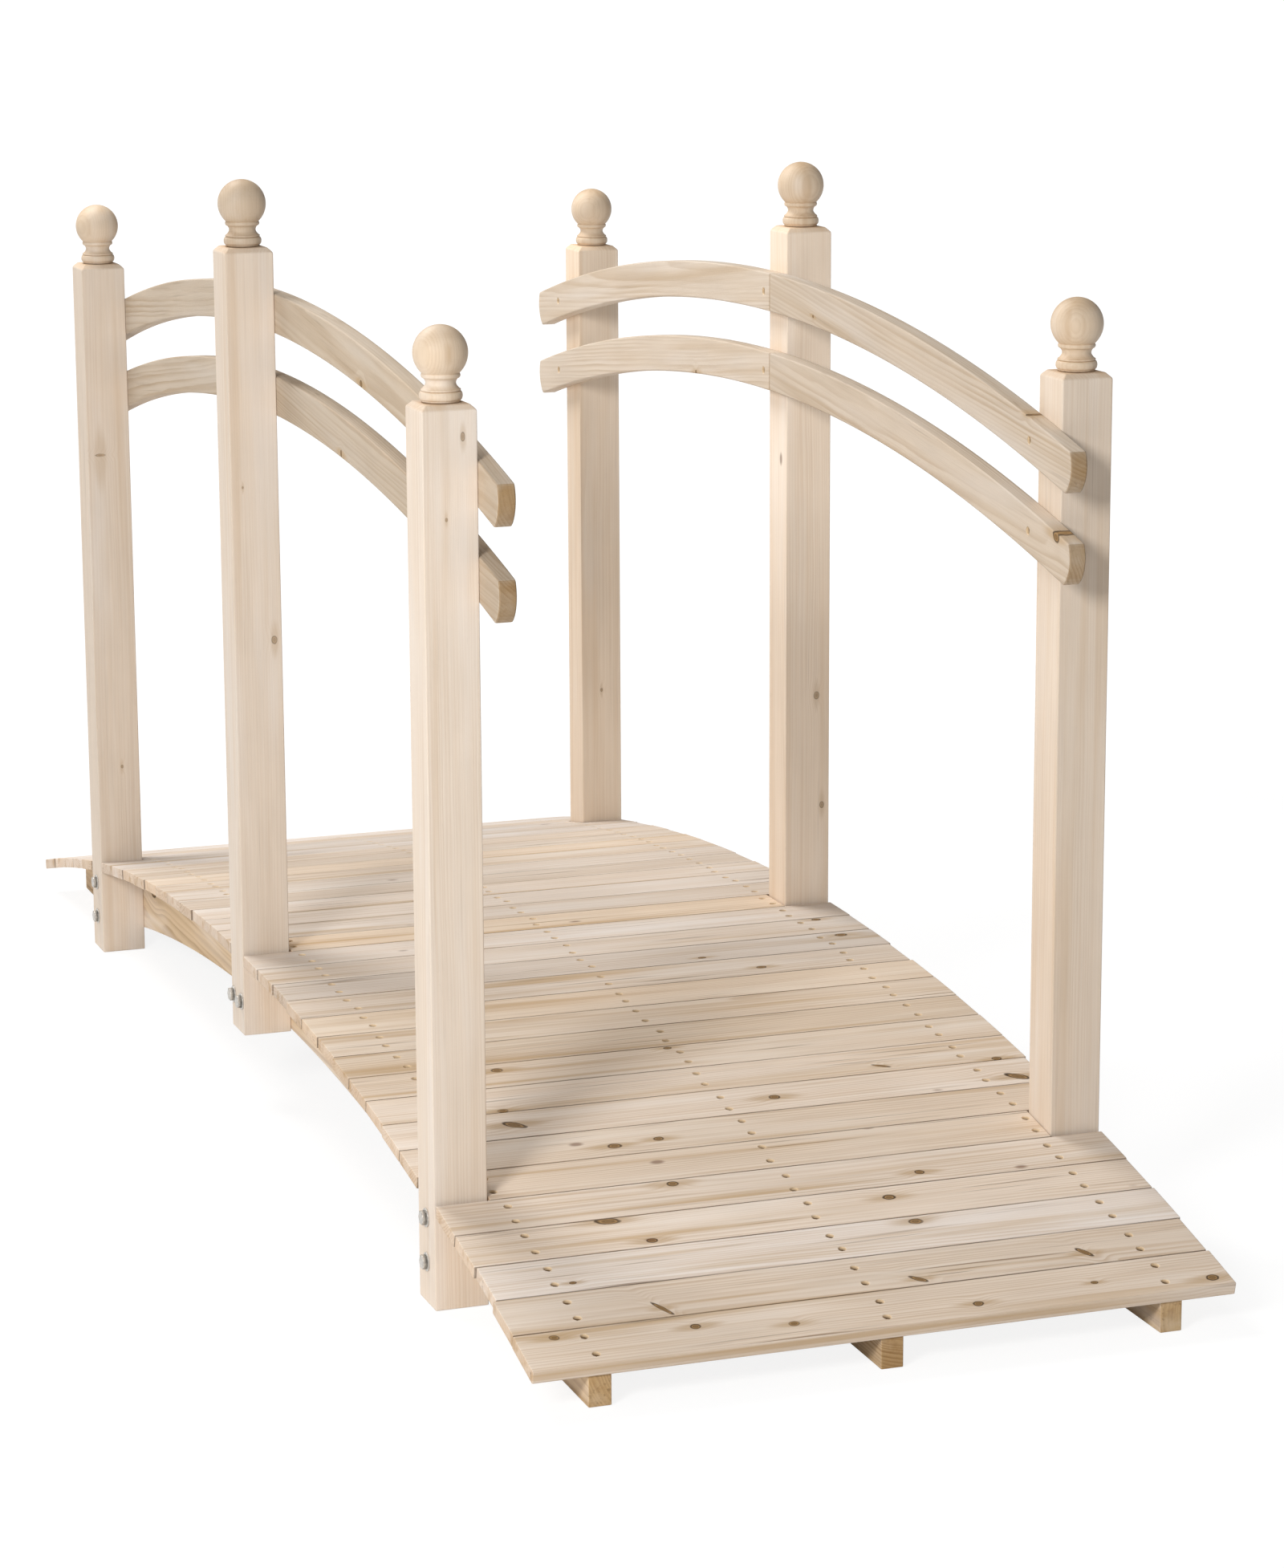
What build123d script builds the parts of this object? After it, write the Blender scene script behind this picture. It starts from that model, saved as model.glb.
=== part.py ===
from build123d import *
from math import asin, cos, radians, sin, sqrt
import os

# An arched timber garden bridge with curved rails and ball finials.
# +X runs along the bridge, +Y across it, +Z up. The origin is on the ground at mid span.

# Deck
board_thickness = 14.0
board_pitch = 68.2
board_gap = 1.2
board_length = 786.0
deck_radius = 4780.0
boards_per_bay = 11
boards_per_ramp = 5
board_end_clearance = 1.0

# Stringers
stringer_thickness = 25.0
stringer_end_height = 34.6
stringer_crown_depth = 87.5
deck_end_overhang = 2.5
arch_radius = 4900.0

# Posts
post_side = 60.0
post_length = 978.0
post_chamfer = 6.0
post_inset = 1.0
middle_post_drop = 3.0

# Rails
rail_thickness = 20.0
rail_depth = 48.0
rail_radius = 3740.0
upper_rail_drop = 80.0
rail_spacing = 100.0
rail_overhang = 94.0
rail_joint_offset = 20.0
rail_joint_gap = 0.5
rail_end_bulge = 9.0

# Ball finials, each on a turned foot and neck
ball_radius = 29.0
ball_cut_angle = 54.0
collar_radius = 20.7
collar_height = 28.0
neck_radius = 16.8
neck_height = 21.0
foot_radius = 22.8
foot_height = 13.0
foot_bevel_height = 4.0

# The deck's arc, measured on the stringers' top edges
board_width = board_pitch - board_gap
stringer_top_radius = deck_radius - board_thickness
board_angle = board_pitch / stringer_top_radius
bay_count = boards_per_bay + 1
last_board = bay_count + boards_per_ramp
last_angle = last_board * board_angle
deck_half_length = stringer_top_radius * sin(last_angle) + board_width / 2 * cos(last_angle)
stringer_half_length = deck_half_length - deck_end_overhang
deck_centre_height = stringer_end_height - sqrt(stringer_top_radius**2 - stringer_half_length**2)
stringer_crown_height = deck_centre_height + stringer_top_radius
arch_crown_height = stringer_crown_height - stringer_crown_depth
arch_centre_height = arch_crown_height - arch_radius

# Where the posts and rails stand
post_y = board_length / 2 - post_inset - post_side / 2
post_inner_face = post_y - post_side / 2
stringer_y = post_inner_face - stringer_thickness / 2
end_post_x = (deck_radius - board_thickness / 2) * sin(bay_count * board_angle)
middle_post_foot = arch_crown_height - middle_post_drop
rail_y = post_inner_face - rail_thickness / 2
rail_half_length = end_post_x + rail_overhang
upper_rail_crown = middle_post_foot + post_length - upper_rail_drop
lower_rail_crown = upper_rail_crown - rail_spacing

sides = {"left": -1, "right": 1}
stations = {"near": 1, "mid": 0, "far": -1}


def save(piece, name):
    piece.label = name
    export_step(piece, f"parts/{name}.step")


def make_stringer(y):
    """A beam on edge: flat feet, upright ends, arched top and underside."""
    foot_reach = sqrt(arch_radius**2 - arch_centre_height**2)
    near_face = Plane.XZ.offset(-y - stringer_thickness / 2)
    with BuildPart() as stringer:
        with BuildSketch(near_face):
            with BuildLine():
                ThreePointArc(
                    (-stringer_half_length, stringer_end_height),
                    (0, stringer_crown_height),
                    (stringer_half_length, stringer_end_height),
                )
                Polyline(
                    (stringer_half_length, stringer_end_height),
                    (stringer_half_length, 0),
                    (foot_reach, 0),
                )
                ThreePointArc((foot_reach, 0), (0, arch_crown_height), (-foot_reach, 0))
                Polyline(
                    (-foot_reach, 0),
                    (-stringer_half_length, 0),
                    (-stringer_half_length, stringer_end_height),
                )
            make_face()
        extrude(amount=stringer_thickness)
    return stringer.part


def board_plane(index):
    """The plane that a board lies on: square to the arc at the board's own place."""
    angle = index * board_angle
    outward = Vector(sin(angle), 0, cos(angle))
    seat = Vector(0, 0, deck_centre_height) + outward * stringer_top_radius
    return Plane(origin=seat, x_dir=(cos(angle), 0, -sin(angle)), z_dir=outward)


def make_boards(first, last, length):
    """Boards first to last, counted from the crown, as separate solids."""
    with BuildPart() as boards:
        for index in range(first, last + 1):
            with BuildSketch(board_plane(index)):
                Rectangle(board_width, length)
            extrude(amount=board_thickness)
    return boards.part


def make_post(x, y, foot):
    """A square post with chamfered top edges."""
    with BuildPart() as post:
        with BuildSketch(Plane((x, y, foot))):
            Rectangle(post_side, post_side)
        extrude(amount=post_length)
        top = post.faces().sort_by(Axis.Z)[-1]
        chamfer(top.edges(), post_chamfer)
    return post.part


def make_finials(y):
    """One side's three ball finials: a turned ball, collar, neck and foot on each post."""
    cut = radians(ball_cut_angle)
    ball_centre = collar_height + ball_radius * sin(cut)
    with BuildPart() as finials:
        for along in stations.values():
            base = post_length if along else middle_post_foot + post_length
            x = along * end_post_x
            with BuildSketch(Plane((x, y, base), x_dir=(1, 0, 0), z_dir=(0, -1, 0))):
                with BuildLine():
                    Polyline(
                        (0, ball_centre + ball_radius),
                        (0, 0),
                        (foot_radius, 0),
                        (foot_radius, foot_height - foot_bevel_height),
                        (collar_radius, foot_height),
                        (neck_radius, neck_height),
                        (collar_radius, collar_height),
                        (ball_radius * cos(cut), collar_height),
                    )
                    CenterArc((0, ball_centre), ball_radius, -ball_cut_angle, ball_cut_angle + 90)
                make_face()
            revolve(axis=Axis((x, y, base), (0, 0, 1)))
    return finials.part


def arc_point(radius, x, centre_height):
    return (x, centre_height + sqrt(radius**2 - x**2))


def make_rail(y, crown, start, end):
    """A curved flat rail from its square joint at start to its rounded end."""
    centre_height = crown - rail_radius
    outer = rail_radius + rail_depth / 2
    inner = rail_radius - rail_depth / 2
    middle = (start + end) / 2
    turn = asin(end / rail_radius)
    tip = (rail_radius * sin(turn), centre_height + rail_radius * cos(turn))
    toward_end = 1 if end > start else -1
    shoulder = turn - toward_end * rail_end_bulge / rail_radius
    outer_end = (outer * sin(shoulder), centre_height + outer * cos(shoulder))
    inner_end = (inner * sin(shoulder), centre_height + inner * cos(shoulder))
    outer_start = arc_point(outer, start, centre_height)
    inner_start = arc_point(inner, start, centre_height)
    near_face = Plane.XZ.offset(-y - rail_thickness / 2)
    with BuildPart() as rail:
        with BuildSketch(near_face):
            with BuildLine():
                ThreePointArc(outer_start, arc_point(outer, middle, centre_height), outer_end)
                ThreePointArc(outer_end, tip, inner_end)
                ThreePointArc(inner_end, arc_point(inner, middle, centre_height), inner_start)
                Line(inner_start, outer_start)
            make_face()
        extrude(amount=rail_thickness)
    return rail.part


os.makedirs("parts", exist_ok=True)

save(make_stringer(-stringer_y), "stringer_left")
save(make_stringer(0), "stringer_middle")
save(make_stringer(stringer_y), "stringer_right")

short_board = 2 * (post_inner_face - board_end_clearance)
save(make_boards(bay_count + 1, last_board, board_length), "boards_near_ramp")
save(make_boards(bay_count, bay_count, short_board), "board_near_posts")
save(make_boards(1, boards_per_bay, board_length), "boards_near_bay")
save(make_boards(0, 0, short_board), "board_mid_posts")
save(make_boards(-boards_per_bay, -1, board_length), "boards_far_bay")
save(make_boards(-bay_count, -bay_count, short_board), "board_far_posts")
save(make_boards(-last_board, -bay_count - 1, board_length), "boards_far_ramp")

for side, across in sides.items():
    save(make_finials(across * post_y), f"finials_{side}")
    for station, along in stations.items():
        foot = 0 if along else middle_post_foot
        x = along * end_post_x
        y = across * post_y
        save(make_post(x, y, foot), f"post_{station}_{side}")

near_joint = rail_joint_offset + rail_joint_gap / 2
far_joint = rail_joint_offset - rail_joint_gap / 2
for side, across in sides.items():
    y = across * rail_y
    for level, crown in {"upper": upper_rail_crown, "lower": lower_rail_crown}.items():
        save(make_rail(y, crown, near_joint, rail_half_length), f"rail_{level}_near_{side}")
        save(make_rail(y, crown, far_joint, -rail_half_length), f"rail_{level}_far_{side}")
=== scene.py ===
import math
import random

import bmesh
import bpy
from mathutils import Matrix, Vector


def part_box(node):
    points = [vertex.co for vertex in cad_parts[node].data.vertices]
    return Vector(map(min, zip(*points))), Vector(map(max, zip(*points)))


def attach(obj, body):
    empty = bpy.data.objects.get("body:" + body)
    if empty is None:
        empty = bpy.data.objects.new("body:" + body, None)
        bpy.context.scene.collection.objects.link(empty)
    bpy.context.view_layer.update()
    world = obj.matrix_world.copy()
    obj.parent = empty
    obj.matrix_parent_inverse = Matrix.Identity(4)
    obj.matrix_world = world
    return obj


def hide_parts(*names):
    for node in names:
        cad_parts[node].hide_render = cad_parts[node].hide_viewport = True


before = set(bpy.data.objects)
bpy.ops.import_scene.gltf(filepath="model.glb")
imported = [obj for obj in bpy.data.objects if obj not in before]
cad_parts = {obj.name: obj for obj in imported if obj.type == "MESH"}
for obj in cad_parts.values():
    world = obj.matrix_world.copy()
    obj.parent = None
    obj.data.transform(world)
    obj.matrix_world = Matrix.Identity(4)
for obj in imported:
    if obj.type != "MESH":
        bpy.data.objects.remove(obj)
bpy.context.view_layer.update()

# An arched timber garden bridge. +X runs along it, +Y across it, +Z up, in metres.

# Arcs of the deck, the stringers' underside and the rails
DECK_RADIUS = 4.780
BOARD_THICKNESS = 0.014
STRINGER_THICKNESS = 0.025
ARCH_RADIUS = 4.900
ARCH_CROWN = 0.095
RAIL_RADIUS = 3.740
RAIL_DEPTH = 0.048
RAIL_THICKNESS = 0.020
RAIL_END_BULGE = 0.009

# How many points draw each arc
DECK_POINTS = 49
ARCH_POINTS = 41
RAIL_POINTS = 33
RAIL_END_POINTS = 11

# Slightly rounded timber edges
BOARD_EDGE = 0.0013
STRINGER_EDGE = 0.0014
RAIL_EDGE = 0.0022
POST_EDGE = 0.0016
LEAST_EDGE_ANGLE = 0.5

# How close two points lie to be one, and how flat two faces meet to be one
SAME_PLACE = 0.00001
SAME_PLANE = 0.02

# Screws, by their distance along the bridge from mid span on the rails
SCREW_SPACING = 0.031
SCREW_STRAY = 0.003
RAIL_SCREWS = {"near": (0.804,), "far": (-0.821, 0.0)}
SCREW_HOLE_RADIUS = 0.0047
SCREW_HOLE_DEPTH = 0.0036
HOLE_SIDES = 20
HOLE_ROUGHNESS = 0.08
ROUGH_RINGS = (1, 2)
HOLE_RINGS = (
    # share of the hole's radius, share of its depth, and how the wood is marked: torn above 0, bored below,
    # painted shade from -1 down to the sunken floor at -2
    (1.45, 0.0, 0.0),
    (1.15, 0.0, 0.3),
    (1.00, 0.0, -0.1),
    (0.93, -0.2, -1.0),
    (0.87, -0.8, -1.45),
    (0.78, -1.0, -2.0),
)
SCREW_HEAD_SIDES = 24
SCREW_HEAD_DEPTH = 0.92 * SCREW_HOLE_DEPTH
RECESS_LOBES = 6
SCREW_HEAD_RINGS = (
    # share of the hole's radius, depth of the lobes, and height from the head's top
    (0.60, 0.0, -0.0004),
    (0.56, 0.0, 0.0),
    (0.32, 0.16, 0.0),
    (0.28, 0.16, -0.0012),
)

# Bolts, by their offset from the post's middle and their height above the ground
END_POST_BOLTS = ((0.0, 0.097), (0.0, 0.047))
MID_POST_BOLTS = ((-0.019, 0.134), (0.019, 0.134))
BOLT_ACROSS = 0.0165
BOLT_HEAD = 0.0055
BOLT_CHAMFER = 0.0011
NUT_HEIGHT = 0.0065
WASHER_RADIUS = 0.0105
WASHER_THICKNESS = 0.0016
WASHER_RIM = 0.0004
WASHER_SIDES = 32
# Radius and height above the nut of the bolt's end
BOLT_END = ((0.0040, -0.0010), (0.0040, 0.0025), (0.0032, 0.0033), (0.0, 0.0033))
BOLT_END_SIDES = 20

# How a piece was sawn from its log: the log's centre from the piece's middle, and its slant
PITH_ASIDE = (0.012, 0.075)
PITH_BEHIND = (-0.075, -0.015)
PITH_SLANT = 0.016
SEED_REACH = 40
SEEDS = {"deck": 11, "stringers": 7, "rails": 23, "posts": 5, "finials": 3}
KNOTS_PER_PIECE = 6

# How squarely a face has to point along the grain to count as end grain, and to a joint to take painted
# shade
END_GRAIN_FROM = 0.45
END_GRAIN_FULL = 0.90
JOINT_FACING = 0.30


def srgb(red, green, blue):
    """A colour as it looks on screen, turned into the linear values that shaders use."""
    linear = [((c + 0.055) / 1.055) ** 2.4 if c > 0.04045 else c / 12.92 for c in (red, green, blue)]
    return (*linear, 1.0)


def spread(first, last, count):
    """Evenly spaced values from first to last, both included."""
    return [first + (last - first) * i / (count - 1) for i in range(count)]


# Wood looks: every piece carries its own place along the grain, tone, growth rings and knots


class Wood:
    """How one piece of timber was sawn: its grain directions, tone, rings and knots."""

    def __init__(self, middle, along, across, chance, tone=1.0, warmth=0.0, knots=(), gap_shade_sides=()):
        along = along.normalized()
        depth = along.cross(across).normalized()
        self.middle = middle
        self.axes = Matrix((along, depth.cross(along), depth))
        self.seed = Vector(chance.uniform(-SEED_REACH, SEED_REACH) for _ in range(3))
        self.look = Vector((tone, warmth, chance.random()))
        aside = chance.choice((-1, 1)) * chance.uniform(*PITH_ASIDE)
        self.pith = Vector((aside, chance.uniform(*PITH_BEHIND), chance.uniform(-PITH_SLANT, PITH_SLANT)))
        self.knots = knots
        self.gap_shade_sides = gap_shade_sides

    def place(self, point):
        """The point in the piece's own grain directions: along, across and into the timber."""
        return self.axes @ (point - self.middle)


def knot(along, across, size, stretch=1.4, angle=0.0):
    """One knot: its place from the piece's middle, radius, length over width and slant in degrees."""
    turn = math.radians(angle)
    longwise = Vector((math.cos(turn), math.sin(turn), 0)) / (size * stretch)
    crosswise = Vector((-math.sin(turn), math.cos(turn), 0)) / size
    return Vector((along, across, 0)), longwise, crosswise


NO_KNOT = knot(9.0, 9.0, 0.05, 1.0)


def new_mesh():
    """An empty mesh with the layers that the wood material reads."""
    mesh = bmesh.new()
    for name in ("place", "seed", "look", "pith"):
        mesh.verts.layers.float_vector.new(name)
    for i in range(KNOTS_PER_PIECE):
        for part in ("centre", "longwise", "crosswise"):
            mesh.verts.layers.float_vector.new(f"knot{i}_{part}")
    mesh.verts.layers.float.new("wear")
    mesh.faces.layers.float.new("end_grain")
    mesh.faces.layers.float.new("soiled")
    return mesh


def lay_grain(mesh, wood):
    """Writes one piece's wood onto all of its vertices and faces."""
    layers = mesh.verts.layers.float_vector
    constant = {"seed": wood.seed, "look": wood.look, "pith": wood.pith}
    knots = list(wood.knots) + [NO_KNOT] * KNOTS_PER_PIECE
    for i in range(KNOTS_PER_PIECE):
        for part, value in zip(("centre", "longwise", "crosswise"), knots[i]):
            constant[f"knot{i}_{part}"] = value
    place = layers["place"]
    for vert in mesh.verts:
        vert[place] = wood.place(vert.co)
    for name, value in constant.items():
        layer = layers[name]
        for vert in mesh.verts:
            vert[layer] = value
    mesh.normal_update()
    ends = mesh.faces.layers.float["end_grain"]
    soiled = mesh.faces.layers.float["soiled"]
    wear = mesh.verts.layers.float["wear"]
    along, across, _ = wood.axes
    for face in mesh.faces:
        endways = abs(face.normal.dot(along))
        face[ends] = min(max((endways - END_GRAIN_FROM) / (END_GRAIN_FULL - END_GRAIN_FROM), 0.0), 1.0)
        # board sides that face a neighbouring board get painted shade, except in the screw holes
        sideways = face.normal.dot(across)
        at_joint = any(sideways * side > JOINT_FACING for side in wood.gap_shade_sides)
        in_hole = any(vert[wear] for vert in face.verts)
        face[soiled] = 1.0 if at_joint and not in_hole else 0.0


def join(whole, piece):
    """Adds a finished piece's mesh to a larger one and frees it."""
    passing = bpy.data.meshes.new("passing")
    piece.to_mesh(passing)
    piece.free()
    whole.from_mesh(passing)
    bpy.data.meshes.remove(passing)


def finish_piece(mesh, name, material, replaces=()):
    """Turns a mesh into a smooth-shaded object that rides on the bridge."""
    data = bpy.data.meshes.new(name)
    mesh.to_mesh(data)
    mesh.free()
    data.shade_smooth()
    piece = bpy.data.objects.new(name, data)
    bpy.context.scene.collection.objects.link(piece)
    data.materials.append(material)
    normals = piece.modifiers.new("flat faces keep flat", "WEIGHTED_NORMAL")
    normals.keep_sharp = True
    if replaces:
        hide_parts(*replaces)
    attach(piece, "root")
    return piece


# Sawn timbers: an outline with thickness, eased edges and screw holes in its top face


def ease_edges(mesh, radius):
    """Rounds every sharp edge of a timber a little."""
    bmesh.ops.recalc_face_normals(mesh, faces=mesh.faces)
    inner = [e for e in mesh.edges if len(e.link_faces) == 2]
    sharp = [e for e in inner if e.calc_face_angle(0.0) > LEAST_EDGE_ANGLE]
    bmesh.ops.bevel(mesh, geom=sharp, offset=radius, segments=2, profile=0.6, affect="EDGES")


def circle(radii):
    """Points round the origin at equal angles, each at its own radius."""
    turns = [2 * math.pi * j / len(radii) for j in range(len(radii))]
    return [(radius * math.cos(t), radius * math.sin(t)) for radius, t in zip(radii, turns)]


def bridge_loops(mesh, loops):
    """Joins each loop of vertices to the next one, and fills the last."""
    for outer, inner in zip(loops, loops[1:]):
        for j in range(len(outer)):
            mesh.faces.new((outer[j - 1], outer[j], inner[j], inner[j - 1]))
    mesh.faces.new(loops[-1])


def drill_holes(mesh, face, holes, chance):
    """Refills a flat face round its screw holes, each with a torn rim and a sunken floor that carries
    painted shade.
    """
    wear = mesh.verts.layers.float["wear"]
    height = face.verts[0].co.z
    border = list(face.edges)
    bmesh.ops.delete(mesh, geom=[face], context="FACES_ONLY")
    for x, y in holes:
        loops = []
        rough = [1 + chance.uniform(-HOLE_ROUGHNESS, HOLE_ROUGHNESS) for _ in range(HOLE_SIDES)]
        for i, (reach, drop, wear_and_shade) in enumerate(HOLE_RINGS):
            z = height + SCREW_HOLE_DEPTH * drop
            radii = [SCREW_HOLE_RADIUS * reach * (r if i in ROUGH_RINGS else 1) for r in rough]
            loop = [mesh.verts.new((x + dx, y + dy, z)) for dx, dy in circle(radii)]
            # each ring's mark: torn rim, pale bore, and painted shade towards the sunken floor
            for vert in loop:
                vert[wear] = wear_and_shade
            loops.append(loop)
        border += [mesh.edges.new((loops[0][j - 1], loops[0][j])) for j in range(HOLE_SIDES)]
        bridge_loops(mesh, loops)
    bmesh.ops.triangle_fill(mesh, edges=border, use_beauty=True, normal=(0, 0, 1))


def make_timber(outline, thickness, placed, wood, edge, chance, holes=()):
    """One timber: the outline in its own plane, raised by thickness, then set in place."""
    mesh = new_mesh()
    low = [mesh.verts.new((x, y, 0)) for x, y in outline]
    high = [mesh.verts.new((x, y, thickness)) for x, y in outline]
    mesh.faces.new(reversed(low))
    mesh.faces.new(high)
    for i in range(len(outline)):
        mesh.faces.new((low[i - 1], low[i], high[i], high[i - 1]))
    ease_edges(mesh, edge)
    if holes:
        top = max(mesh.faces, key=lambda f: f.calc_center_median().z + f.calc_area())
        drill_holes(mesh, top, holes, chance)
    mesh.transform(placed)
    bmesh.ops.recalc_face_normals(mesh, faces=mesh.faces)
    lay_grain(mesh, wood)
    return mesh


def arc(radius, centre_height, start, end, count):
    """Points (x, z) along an arc whose centre lies under mid span."""
    turns = spread(math.asin(start / radius), math.asin(end / radius), count)
    return [(radius * math.sin(t), centre_height + radius * math.cos(t)) for t in turns]


def solids_of(node):
    """The corner points of each separate solid in a CAD node."""
    mesh = bmesh.new()
    mesh.from_mesh(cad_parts[node].data)
    bmesh.ops.remove_doubles(mesh, verts=mesh.verts, dist=SAME_PLACE)
    left = dict.fromkeys(mesh.verts)
    found = []
    while left:
        grown = [left.popitem()[0]]
        for vert in grown:
            for edge in vert.link_edges:
                other = edge.other_vert(vert)
                if other in left:
                    del left[other]
                    grown.append(other)
        found.append([v.co.copy() for v in grown])
    mesh.free()
    return sorted(found, key=lambda corners: sum(c.x for c in corners))


# Deck boards

# Knots that catch the eye, by board number from the crown towards the near end:
# place across the bridge, place along it, radius, length over width, slant
BOARD_KNOTS = {
    2: (knot(0.342, -0.026, 0.005),),
    3: (
        knot(0.346, -0.019, 0.006),
        knot(0.144, 0.020, 0.004),
    ),
    4: (knot(0.201, 0.009, 0.005),),
    8: (
        knot(-0.221, -0.014, 0.006, 1.3),
        knot(-0.008, -0.028, 0.004),
    ),
    9: (
        knot(-0.250, 0.030, 0.005),
        knot(0.356, 0.030, 0.005),
        knot(0.215, 0.017, 0.003, 4.0, 30),
    ),
    10: (
        knot(-0.249, 0.001, 0.007, 2.2, 35),
        knot(0.062, 0.001, 0.006, 1.2),
        knot(0.359, 0.015, 0.007, 2.4, 35),
    ),
    11: (
        knot(-0.158, 0.011, 0.006, 1.5),
        knot(-0.104, 0.005, 0.005),
    ),
    13: (
        knot(-0.126, -0.024, 0.006, 1.2),
        knot(0.150, 0.012, 0.005, 1.2),
    ),
    14: (
        knot(-0.223, -0.028, 0.007, 2.2, 8),
        knot(-0.190, 0.022, 0.005),
        knot(0.095, -0.010, 0.006, 1.3),
    ),
    15: (
        knot(0.103, -0.022, 0.006, 1.5),
        knot(-0.300, 0.018, 0.003),
    ),
    16: (
        knot(-0.225, 0.018, 0.003, 6.0, 60),
        knot(0.257, 0.010, 0.004, 3.2, 55),
        knot(0.060, 0.022, 0.004, 3.0, 40),
    ),
    17: (
        knot(-0.352, -0.022, 0.005, 1.2),
        knot(-0.203, -0.011, 0.005, 1.2),
        knot(-0.101, 0.006, 0.005, 1.3),
        knot(0.103, 0.012, 0.005, 1.3),
        knot(0.242, 0.0, 0.003),
        knot(0.372, 0.018, 0.006, 1.3),
    ),
}
# Tone and warmth of the nearest boards, by the same numbers
BOARD_LOOKS = {
    9: (1.03, 0.2),
    10: (1.04, 0.0),
    11: (0.95, 0.6),
    12: (0.96, 0.6),
    13: (1.00, 0.1),
    14: (1.05, 0.1),
    15: (1.08, -0.8),
    16: (0.94, 0.4),
    17: (0.97, 0.4),
}
# Mean and spread of the other boards' tone and warmth, and how both drift from board to board
BOARD_TONE = (1.0, 0.055)
BOARD_WARMTH = (0.1, 0.5)
TONE_DRIFT = -0.003
WARMTH_DRIFT = 0.035
BOARD_CUT_BACK = 0.0024
DECK_NODES = (
    "boards_far_ramp",
    "board_far_posts",
    "boards_far_bay",
    "board_mid_posts",
    "boards_near_bay",
    "board_near_posts",
    "boards_near_ramp",
)


def board_outline(half_width, half_length, chance):
    """A board's rectangle, its ends cut back and shifted a little as sawn by hand."""
    cut_back = chance.uniform(0.0, BOARD_CUT_BACK)
    shift = chance.uniform(-cut_back, cut_back)
    low = shift - half_length + cut_back
    high = shift + half_length - cut_back
    return [(-half_width, low), (half_width, low), (half_width, high), (-half_width, high)]


def board_holes(stringer_rows, chance):
    """Two screw holes over each stringer, a little out of line."""
    holes = []
    for row in stringer_rows:
        for side in (-0.5, 0.5):
            x = side * SCREW_SPACING + chance.uniform(-SCREW_STRAY, SCREW_STRAY)
            holes.append((x, row + chance.uniform(-SCREW_STRAY, SCREW_STRAY)))
    return holes


def board_look(number, chance):
    """Tone and warmth of one board."""
    tone, warmth = chance.gauss(*BOARD_TONE), chance.gauss(*BOARD_WARMTH)
    return BOARD_LOOKS.get(number, (tone + TONE_DRIFT * number, warmth + WARMTH_DRIFT * number))


def make_board(corners, number, last_number, stringer_rows, chance):
    """One board, square to the deck's arc, and the places of its screws."""
    middle = sum(corners, Vector()) / len(corners)
    deck_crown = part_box("board_mid_posts")[1].z
    up = Vector((middle.x, 0, middle.z + DECK_RADIUS - deck_crown)).normalized()
    along = Vector((up.z, 0, -up.x))
    half_width = max((c - middle).dot(along) for c in corners)
    half_length = max(c.y for c in corners)
    outline = board_outline(half_width, half_length, chance)
    holes = board_holes(stringer_rows, chance)
    placed = Matrix.Translation(middle - up * BOARD_THICKNESS / 2)
    placed = placed @ Matrix((along, Vector((0, 1, 0)), up)).transposed().to_4x4()
    tone, warmth = board_look(number, chance)
    # sides that face another board, which get painted shade in the gap
    joints = [side for side in (-1, 1) if side * number < last_number]
    knots = BOARD_KNOTS.get(number, ())
    wood = Wood(middle, Vector((0, 1, 0)), along, chance, tone, warmth, knots, joints)
    board = make_timber(outline, BOARD_THICKNESS, placed, wood, BOARD_EDGE, chance, holes)
    top = placed @ Matrix.Translation((0, 0, BOARD_THICKNESS))
    return board, [top @ Matrix.Translation((x, y, 0)) for x, y in holes]


def make_deck(material, stringer_rows):
    """Every board with six screw holes, one object for each CAD node. Returns the screws' places."""
    chance = random.Random(SEEDS["deck"])
    corner_sets = {node: solids_of(node) for node in DECK_NODES}
    last_number = sum(len(sets) for sets in corner_sets.values()) // 2
    number = -last_number
    screws = []
    for node in DECK_NODES:
        whole = new_mesh()
        for corners in corner_sets[node]:
            board, places = make_board(corners, number, last_number, stringer_rows, chance)
            join(whole, board)
            screws += places
            number += 1
        finish_piece(whole, f"planks_{node}", material, [node])
    return screws


# Stringers

# Tone and warmth of each stringer
STRINGER_LOOKS = {"left": (1.14, -0.2), "middle": (0.95, 0.8), "right": (1.14, -0.2)}
STRINGER_KNOTS = (
    knot(1.12, -0.030, 0.011, 1.3),
    knot(0.55, 0.040, 0.010),
    knot(-0.72, 0.010, 0.012),
)


def make_stringers(material):
    """Three beams on edge: arched above and below, with flat feet and upright ends."""
    chance = random.Random(SEEDS["stringers"])
    for side in ("left", "middle", "right"):
        node = f"stringer_{side}"
        low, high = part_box(node)
        reach = high.x
        top_radius = DECK_RADIUS - BOARD_THICKNESS
        arch_centre = ARCH_CROWN - ARCH_RADIUS
        foot = math.sqrt(ARCH_RADIUS**2 - arch_centre**2)
        outline = arc(top_radius, high.z - top_radius, -reach, reach, DECK_POINTS)
        outline += [(reach, 0.0)]
        outline += arc(ARCH_RADIUS, arch_centre, foot, -foot, ARCH_POINTS)
        outline += [(-reach, 0.0)]
        middle = (low + high) / 2
        placed = Matrix.Translation((0, high.y, 0)) @ Matrix.Rotation(math.pi / 2, 4, "X")
        look = STRINGER_LOOKS[side]
        wood = Wood(middle, Vector((1, 0, 0)), Vector((0, 0, 1)), chance, *look, STRINGER_KNOTS)
        beam = make_timber(outline, STRINGER_THICKNESS, placed, wood, STRINGER_EDGE, chance)
        finish_piece(beam, f"beam_{side}", material, [node])


# Rails


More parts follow.
